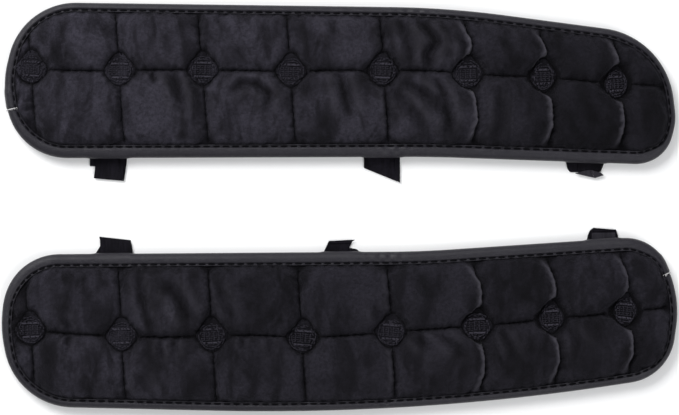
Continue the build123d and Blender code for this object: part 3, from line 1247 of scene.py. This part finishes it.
# ---- materials ------------------------------------------------------------------------
class Look:
    """A node material in the making: a Principled shader and helpers for what feeds it.

    Textures are placed by object coordinates, so sizes are given in millimetres.
    """

    def __init__(self, name, **sockets):
        self.material = bpy.data.materials.new(name)
        self.material.use_nodes = True
        self.tree = self.material.node_tree
        self.shader = self.tree.nodes["Principled BSDF"]
        for socket, value in sockets.items():
            self.shader.inputs[socket.replace("_", " ")].default_value = value
        self.place = self.node("ShaderNodeTexCoord").outputs["Object"]

    def node(self, kind, **settings):
        """A new node with its settings."""
        made = self.tree.nodes.new(kind)
        for key, value in settings.items():
            setattr(made, key, value)
        return made

    def feed(self, socket, source):
        """Link a source to an input socket, or set the input to a number or an RGB colour."""
        if isinstance(source, tuple):
            socket.default_value = (*source, 1)
        elif isinstance(source, (int, float)):
            socket.default_value = source
        else:
            self.tree.links.new(source, socket)

    def stretched(self, stretch, turn=0.0):
        """Object coordinates, stretched and turned about the vertical."""
        mapping = self.node("ShaderNodeMapping")
        mapping.inputs["Scale"].default_value = stretch
        mapping.inputs["Rotation"].default_value = (0, 0, turn)
        self.feed(mapping.inputs["Vector"], self.place)
        return mapping.outputs["Vector"]

    def noise(self, size, detail=3.0, roughness=0.55, distortion=0.0, stretch=None, turn=0.0):
        """Noise with lumps about size millimetres across."""
        made = self.node("ShaderNodeTexNoise")
        made.inputs["Scale"].default_value = 1 / (size * MM)
        made.inputs["Detail"].default_value = detail
        made.inputs["Roughness"].default_value = roughness
        made.inputs["Distortion"].default_value = distortion
        place = self.stretched(stretch, turn) if stretch else self.place
        self.feed(made.inputs["Vector"], place)
        return made.outputs["Fac"]

    def cells(self, size, feature="F1", stretch=None, turn=0.0):
        """Voronoi cells about size millimetres across."""
        made = self.node("ShaderNodeTexVoronoi", feature=feature)
        made.inputs["Scale"].default_value = 1 / (size * MM)
        place = self.stretched(stretch, turn) if stretch else self.place
        self.feed(made.inputs["Vector"], place)
        return made.outputs["Distance"]

    def ribs(self, pitch, direction, distortion=0.3):
        """Even ribs, pitch millimetres apart, along one direction."""
        made = self.node("ShaderNodeTexWave", bands_direction=direction)
        one_wave = math.tau / 20               # of the texture, at scale 1
        made.inputs["Scale"].default_value = one_wave / (pitch * MM)
        made.inputs["Distortion"].default_value = distortion
        made.inputs["Detail Scale"].default_value = 4.0
        self.feed(made.inputs["Vector"], self.place)
        return made.outputs["Fac"]

    def spread(self, source, low, high):
        """A source between two of its values, stretched to run from 0 to 1."""
        made = self.node("ShaderNodeMapRange", interpolation_type="SMOOTHSTEP")
        made.inputs["From Min"].default_value = low
        made.inputs["From Max"].default_value = high
        self.feed(made.inputs["Value"], source)
        return made.outputs["Result"]

    def mix(self, factor, a, b):
        """A colour between a and b."""
        made = self.node("ShaderNodeMix", data_type="RGBA")
        self.feed(made.inputs[0], factor)
        self.feed(made.inputs[6], a)
        self.feed(made.inputs[7], b)
        return made.outputs[2]

    def math(self, operation, a, b):
        """A sum, product or other combination of two numbers."""
        made = self.node("ShaderNodeMath", operation=operation)
        self.feed(made.inputs[0], a)
        self.feed(made.inputs[1], b)
        return made.outputs[0]

    def times(self, a, b):
        """The product of two numbers."""
        return self.math("MULTIPLY", a, b)

    def line(self, source, slope, start):
        """A number that starts at start and rises by slope times a source."""
        return self.math("ADD", self.times(source, slope), start)

    def stored(self, name):
        """A number kept on the mesh by store()."""
        return self.node("ShaderNodeAttribute", attribute_name=name).outputs["Fac"]

    def bump(self, height, depth, under=None):
        """A bump of a depth in millimetres, over another bump if there is one."""
        made = self.node("ShaderNodeBump")
        made.inputs["Strength"].default_value = 1.0
        made.inputs["Distance"].default_value = depth * MM
        self.feed(made.inputs["Height"], height)
        if under:
            self.feed(made.inputs["Normal"], under)
        return made.outputs["Normal"]

    def done(self, color=None, roughness=None, normal=None):
        """Link the sources to the shader and return the material."""
        for name, source in (("Base Color", color), ("Roughness", roughness), ("Normal", normal)):
            if source is not None:
                self.feed(self.shader.inputs[name], source)
        return self.material


def velvet():
    """Short black plush: nap brushed both ways in soft patches, mottled pile, a little sheen.

    Painted shade darkens it in the seams, folds and corners at the edge (shade), a painted
    highlight lightens the leaning rims and fold ridges (rim), it has dark slanting smears of
    brushed nap, and painted shade darkens it towards the far end and over the lower guard.
    """
    look = Look(
        "black_plush", Sheen_Weight=0.05, Sheen_Roughness=0.4, Sheen_Tint=(0.75, 0.72, 0.9, 1),
        Specular_IOR_Level=0.06,
    )
    patches = look.spread(look.noise(24, 3, 0.5, 0.6, stretch=(1, 0.7, 1), turn=0.5), 0.36, 0.66)
    strokes = look.spread(look.noise(7.5, 4, 0.6, 0.5, stretch=(1, 0.55, 1), turn=0.3), 0.34, 0.66)
    smears = look.spread(look.noise(15, 4, 0.55, 0.8, stretch=(1, 0.38, 1), turn=-0.9), 0.45, 0.66)
    tufts = look.spread(look.noise(2.1, 4, 0.68), 0.34, 0.68)
    pile = look.spread(look.noise(0.55, 3, 0.7), 0.3, 0.7)
    brushed = look.mix(patches, (0.0080, 0.0075, 0.0096), (0.0500, 0.0468, 0.0635))
    stroked = look.mix(look.times(strokes, 0.55), brushed, (0.0560, 0.0524, 0.0710))
    mottled = look.mix(look.times(tufts, 0.5), stroked, (0.0110, 0.0103, 0.0136))
    flecked = look.mix(look.times(pile, 0.32), mottled, (0.0050, 0.0047, 0.0062))
    # painted shade: darker towards the far end of each guard and over the whole lower guard
    falloff_shade = look.stored("falloff_shade")
    body = look.mix(falloff_shade, flecked, (0.0008, 0.0008, 0.0010))
    smeared = look.mix(look.times(smears, 0.75), body, (0.0050, 0.0047, 0.0060))
    # painted highlight on the leaning rims and fold ridges
    rim_highlighted = look.mix(look.times(look.stored("rim"), 0.8), smeared, (0.0860, 0.0815, 0.1000))
    # painted shade in the seams, folds and edge corners
    color = look.mix(look.times(look.stored("shade"), 0.86), rim_highlighted, (0.0012, 0.0011, 0.0014))
    rough = look.line(strokes, 0.14, 0.8)
    normal = look.bump(tufts, 0.35)
    normal = look.bump(pile, 0.2, normal)
    return look.done(color, rough, normal)


def leatherette():
    """Charcoal synthetic leather: pebbled grain, satin gloss, scuffed in patches."""
    look = Look("binding_leatherette", Specular_IOR_Level=0.24)
    grain = look.cells(0.8, "DISTANCE_TO_EDGE")
    pebbles = look.spread(grain, 0.0, 0.35)
    creases = look.noise(3.5, 4, 0.6, 0.4)
    wear = look.spread(look.noise(9, 4, 0.65), 0.42, 0.72)
    base = look.mix(wear, (0.0200, 0.0186, 0.0250), (0.0390, 0.0366, 0.0470))
    color = look.mix(look.times(pebbles, 0.5), (0.0130, 0.0120, 0.0165), base)
    rough = look.line(creases, 0.2, 0.33)
    normal = look.bump(creases, 0.25)
    normal = look.bump(pebbles, 0.07, normal)
    return look.done(color, rough, normal)


def sewing_thread():
    """Black bonded thread, with the twist of its plies."""
    look = Look("sewing_thread", Specular_IOR_Level=0.05)
    plies = look.noise(0.35, 2, stretch=(1, 2.2, 1), turn=0.8)
    color = look.mix(plies, (0.0010, 0.0010, 0.0013), (0.0042, 0.0040, 0.0054))
    return look.done(color, look.line(plies, 0.2, 0.5), look.bump(plies, 0.08))


def embroidery_thread(name, dark, light):
    """Glossier rayon thread, with fine strands and slight changes of shade."""
    look = Look(name, Specular_IOR_Level=0.07)
    strands = look.noise(0.3, 3, stretch=(1, 3, 1), turn=0.4)
    shade = look.noise(5, 2)
    base = look.mix(shade, dark, light)
    color = look.mix(look.times(strands, 0.5), base, (0.006, 0.006, 0.0075))
    rough = look.line(strands, 0.25, 0.35)
    return look.done(color, rough, look.bump(strands, 0.06))


def webbing_look(name, dark, light, gloss):
    """Woven satin webbing: fine cross ribs, warp threads between them, slight fuzz."""
    look = Look(name, Specular_IOR_Level=0.05, Anisotropic=0.5)
    streaks = look.spread(look.noise(2.2, 3, 0.6, stretch=(1, 0.12, 1)), 0.35, 0.65)
    weft = look.ribs(0.62, "Y", 0.5)
    warp = look.ribs(0.9, "X", 0.8)
    fuzz = look.noise(1.6, 4, 0.65)
    weave = look.times(weft, look.line(warp, 0.45, 0.55))
    # painted satin sheen: lighter streaks along the webbing, broken up by random fuzz
    lit = look.times(streaks, look.spread(fuzz, 0.2, 0.6))
    base = look.mix(lit, dark, light)
    color = look.mix(look.times(weave, 0.5), base, tuple(1.9 * c for c in light))
    rough = look.line(weave, -0.16, gloss)
    return look.done(color, rough, look.bump(weave, 0.14))


def hook_tape():
    """Moulded nylon hook tape."""
    look = Look("hook_tape", Specular_IOR_Level=0.5)
    haze = look.noise(1.2, 4, 0.6)
    color = look.mix(haze, (0.008, 0.008, 0.009), (0.022, 0.022, 0.024))
    return look.done(color, look.line(haze, 0.2, 0.3), look.bump(haze, 0.05))


def backing_cloth():
    """Plain tightly woven lining with a little wear."""
    look = Look("backing_cloth", Specular_IOR_Level=0.25, Sheen_Weight=0.2)
    weft = look.ribs(0.5, "Y", 0.6)
    warp = look.ribs(0.5, "X", 0.6)
    weave = look.math("MAXIMUM", weft, warp)
    wear = look.spread(look.noise(14, 4, 0.6), 0.4, 0.7)
    base = look.mix(wear, (0.012, 0.012, 0.014), (0.024, 0.024, 0.027))
    color = look.mix(look.times(weave, 0.6), (0.006, 0.006, 0.007), base)
    return look.done(color, look.line(weave, 0.15, 0.7), look.bump(weave, 0.12))


def foam_look():
    """Dark open-cell foam."""
    look = Look("foam", Specular_IOR_Level=0.2)
    pores = look.spread(look.cells(0.9), 0.1, 0.6)
    color = look.mix(pores, (0.008, 0.008, 0.009), (0.05, 0.05, 0.055))
    return look.done(color, look.line(pores, 0.1, 0.85), look.bump(pores, 0.3))


def cut_edge():
    """The pale woven backing that shows where the binding strip is cut."""
    look = Look("cut_edge", Specular_IOR_Level=0.3, Sheen_Weight=0.2)
    fibre = look.noise(0.4, 3, 0.6)
    color = look.mix(fibre, (0.3, 0.29, 0.3), (0.72, 0.7, 0.7))
    return look.done(color, look.line(fibre, 0.1, 0.8), look.bump(fibre, 0.1))


LOOKS = {
    "plush": velvet(),
    "binding": leatherette(),
    "thread": sewing_thread(),
    # the same thread twice: painted lighter for the satin bars as a painted highlight, and painted darker for
    # the ring and darned rows as painted shade in the rosette's hollow
    "embroidery": embroidery_thread("embroidery_thread", (0.036, 0.0335, 0.045), (0.074, 0.069, 0.089)),
    "ring_thread": embroidery_thread("ring_thread", (0.014, 0.0130, 0.0175), (0.044, 0.0410, 0.0550)),
    "webbing": webbing_look("webbing", (0.0008, 0.0007, 0.0011), (0.0066, 0.0058, 0.0092), 0.55),
    # the paler back of the webbing, also painted lighter as a painted highlight on the turned strips
    "webbing_back": webbing_look("webbing_back", (0.0105, 0.0099, 0.0128), (0.0280, 0.0265, 0.0330), 0.5),
    "patch": webbing_look("patch_webbing", (0.005, 0.005, 0.006), (0.010, 0.010, 0.012), 0.6),
    "hook": hook_tape(),
    "backing": backing_cloth(),
    "foam": foam_look(),
    "cut_edge": cut_edge(),
}


# ---- stage ----------------------------------------------------------------------------
def build_floor():
    """A plain pale floor."""
    size = 4.0
    level = -0.0003
    corners = [(-size, -size, level), (size, -size, level), (size, size, level), (-size, size, level)]
    floor = make_mesh("floor", corners, [(0, 1, 2, 3)], smooth=False)
    look = Look("pale_floor", Specular_IOR_Level=0.1)
    haze = look.noise(300, 2)
    color = look.mix(haze, (0.9, 0.9, 0.9), (0.93, 0.93, 0.93))
    floor.data.materials.append(look.done(color, 0.9))


def add_light(name, place, size, power):
    """A soft square light that looks at the pair."""
    lamp = bpy.data.lights.new(name, "AREA")
    lamp.size = size
    lamp.energy = power
    made = bpy.data.objects.new(name, lamp)
    made.location = place
    made.rotation_euler = (-Vector(place)).to_track_quat("-Z", "Y").to_euler()
    made.visible_camera = False
    bpy.context.scene.collection.objects.link(made)


def build_stage():
    """Floor, lights, surroundings and camera."""
    build_floor()
    add_light("key_light", (-0.9, 1.2, 1.35), 1.3, 46)
    add_light("fill_light", (1.0, -1.1, 1.6), 1.6, 24)
    world = bpy.data.worlds.new("studio")
    world.use_nodes = True
    ground = world.node_tree.nodes["Background"]
    ground.inputs["Color"].default_value = (0.95, 0.97, 1.0, 1)
    ground.inputs["Strength"].default_value = 0.4
    bpy.context.scene.world = world
    bpy.context.scene.view_settings.view_transform = "Standard"

    camera = bpy.data.cameras.new("camera")
    camera.sensor_width = 36
    height_over_pair = 2.5
    view_width = 0.4074
    camera.lens = camera.sensor_width * height_over_pair / view_width
    camera.clip_end = 50
    holder = bpy.data.objects.new("camera", camera)
    holder.location = (0, -0.0003, height_over_pair + 0.006)
    bpy.context.scene.collection.objects.link(holder)
    bpy.context.scene.camera = holder


# ---- the pair -------------------------------------------------------------------------
UPPER = Guard(
    "upper", 1,
    [
        ((-195.8, -0.3), 37.0), ((55.0, 0.6), 900.0), ((195.2, -4.4), 23.0), ((201.5, 22.1), 29.0),
        ((195.4, 72.2), 48.0), ((64.6, 89.4), 570.0), ((-190.7, 92.9), 41.0), ((-202.3, 46.0), 58.0),
    ],
    lean=-0.075,
    join=(-198.5, 27.0),
    crumples=[(44.0, True), (32.0, False)],
    folds=[
        ([(-112.3, 54.0), (-112.3, 43.5)], 2.0, 1.5),
        ([(-101.5, 53.5), (-99.0, 44.0), (-96.0, 30.0)], 1.9, 2.6),
        ([(-87.0, 48.0), (-84.5, 34.0), (-84.0, 22.0)], 0.8, 3.0),
        ([(-65.0, 38.0), (-58.0, 44.0), (-50.0, 43.0), (-43.5, 37.0), (-45.0, 26.0)], 1.7, 2.2),
        ([(-1.0, 52.0), (1.5, 40.0), (5.0, 24.0)], 2.0, 2.8),
        ([(-6.0, 82.0), (-3.0, 70.0)], 1.0, 2.4),
        ([(36.0, 81.0), (38.0, 68.0), (42.0, 58.0)], 1.3, 2.2),
        ([(47.5, 81.0), (53.0, 68.0), (50.0, 62.0), (54.5, 52.0)], 1.9, 2.4),
        ([(67.0, 70.0), (70.5, 60.0)], 1.5, 1.8),
        ([(40.0, 43.0), (50.0, 35.0), (57.0, 24.0)], 1.6, 2.8),
        ([(33.0, 38.0), (41.0, 26.0), (45.0, 18.0)], 1.0, 2.4),
        ([(56.0, 46.0), (57.5, 33.0), (61.0, 15.0)], 2.1, 2.2),
        ([(89.5, 38.0), (90.5, 12.0)], 0.8, 2.2),
    ],
    painted_light_levels=(0.99, 0.76, 0.27),
    seed=3,
)
LOWER = Guard(
    "lower", -1,
    [
        ((-199.4, 1.2), 34.5), ((48.0, -0.6), 600.0), ((188.4, -10.0), 27.0), ((204.0, 26.6), 63.0),
        ((197.4, 73.9), 31.0), ((46.6, 97.1), 1400.0), ((-194.9, 91.6), 42.0), ((-203.8, 45.2), 70.0),
    ],
    lean=0.065,
    join=(199.0, 12.0),
    crumples=[(27.0, True), (27.0, False)],
    folds=[
        ([(-163.8, 40.0), (-161.6, 48.0), (-164.6, 58.5)], 1.5, 1.6),
        ([(-121.0, 13.0), (-118.0, 29.0), (-113.0, 44.0)], 1.2, 2.0),
        ([(-103.0, 19.0), (-97.0, 29.0), (-90.5, 40.0)], 1.7, 3.0),
        ([(-73.0, 19.0), (-69.0, 28.0), (-64.0, 37.0)], 1.2, 2.2),
        ([(-107.7, 50.0), (-107.0, 61.0)], 1.4, 1.6),
        ([(-100.0, 51.0), (-99.5, 64.0)], 1.4, 1.8),
        ([(-58.8, 50.5), (-58.4, 57.0)], 1.2, 1.4),
        ([(-43.0, 50.5), (-42.0, 60.0)], 0.9, 1.6),
        ([(-119.0, 72.0), (-117.0, 83.0)], 1.0, 3.0),
        ([(18.5, 30.0), (22.5, 40.0)], 1.1, 2.0),
        ([(45.0, 49.0), (50.0, 57.0)], 1.4, 2.6),
        ([(60.0, 50.0), (66.0, 58.0)], 1.2, 2.6),
        ([(96.0, 46.5), (97.0, 61.0)], 1.2, 2.0),
        ([(134.0, 44.0), (138.0, 58.0)], 0.8, 3.0),
    ],
    painted_light_levels=(0.77, 0.45, 0.45),
    seed=11,
)
UPPER_TABS = [
    [
        Layer([(-150.6, 8), (-150.6, -5.6)], [(-134.0, 8), (-134.0, -5.4)], 0.35),
        Layer(
            [(-147.6, 8), (-147.4, -6), (-148.2, -12.9)],
            [(-128.0, 8), (-128.3, -3), (-130.0, -14.5)], 0.95, tip=0.3,
        ),
        Layer([(-132.4, 8), (-133.4, -13.6)], [(-129.2, 8), (-130.8, -14.2)], 1.45, tip=0.3),
    ],
    [
        Layer([(14.2, 8.4), (14.2, -6.7)], [(34.2, 8.4), (34.4, -14.9)], 0.4),
        Layer([(32.4, 8.4), (32.6, -13.6)], [(35.9, 8.4), (35.9, -15.6)], 0.95, lift_right=0.5),
        Layer([(14.5, -4.6), (14.4, -6.5)], [(33.2, -12.4), (34.4, -14.8)], 0.9, tip=0.2),
    ],
    [
        Layer(
            [(136.2, 5.6), (135.8, -3.0), (136.5, -7.2), (138.2, -9.2)],
            [(158.4, 5.6), (156.6, -9.0)], 0.45,
        ),
        Layer([(142.4, 4.0), (142.6, -8.2)], [(158.6, 4.0), (158.9, -3.0), (156.7, -8.7)], 0.95),
        Layer(
            [(141.0, -9.7), (141.6, -10.1)],
            [(149.8, -7.6), (153.2, -12.7)], 1.3, tip=0.7, light=True,
        ),
        Layer([(149.8, -7.6), (153.2, -12.7)], [(156.4, -9.3), (158.4, -11.0)], 1.9, light=True),
    ],
]
LOWER_TABS = [
    [
        Layer([(-147.7, 8), (-147.5, 0.6), (-144.3, -4.6)], [(-126.0, 8), (-127.0, -5.5)], 0.35),
        Layer(
            [(-144.4, 8), (-143.9, -4.6), (-144.9, -10.1)],
            [(-124.8, 8), (-124.6, 0.4), (-125.9, -8.0)], 0.95, tip=0.2,
        ),
        Layer([(-143.8, 6), (-144.6, -9.9)], [(-141.8, 6), (-142.4, -9.7)], 1.45, tip=0.2),
    ],
    [
        Layer(
            [(-10.9, 7.6), (-10.4, 0.0), (-6.9, -7.4)],
            [(5.0, 7.6), (5.0, -1.0), (5.4, -3.6), (7.4, -7.4)], 0.6,
        ),
        Layer([(2.0, 7.6), (2.4, -3.2)], [(13.2, 7.6), (12.4, -0.2), (9.8, -2.6), (5.6, -3.3)], 0.35),
        Layer([(-6.6, -6.0), (-7.0, -7.5)], [(5.6, -6.2), (9.2, -8.3)], 1.15, tip=0.4),
    ],
    [
        Layer(
            [(148.2, 0.4), (148.2, -8.0), (148.8, -11.0), (150.1, -13.9), (152.2, -15.4)],
            [(167.1, 0.4), (167.1, -8.8), (166.6, -11.6), (165.8, -14.3)], 0.5,
        ),
        Layer([(151.0, 0.4), (151.2, -12.4)], [(166.2, 0.4), (165.3, -12.6)], 0.95, light=True),
        Layer([(151.2, -13.4), (152.2, -15.2)], [(164.4, -13.1), (165.9, -14.3)], 1.0, tip=0.3),
    ],
]


def build_guard(guard, tabs):
    """Every piece of one guard."""
    plan = build_layers(guard)
    build_quilting_stitches(plan)
    build_rosettes(plan)
    join_end = build_binding(guard)
    build_frayed_join(guard, join_end)
    build_binding_stitches(guard)
    squares = []
    for number, layers in enumerate(tabs, start=1):
        build_strap(guard, number)
        build_tab(guard, number, layers)
        squares.append(build_anchor(guard, f"strap_{number}_anchor"))
        squares.append(build_anchor(guard, f"tab_{number}_anchor"))
    build_box_stitches(guard, squares)


build_guard(UPPER, UPPER_TABS)
build_guard(LOWER, LOWER_TABS)
build_stage()
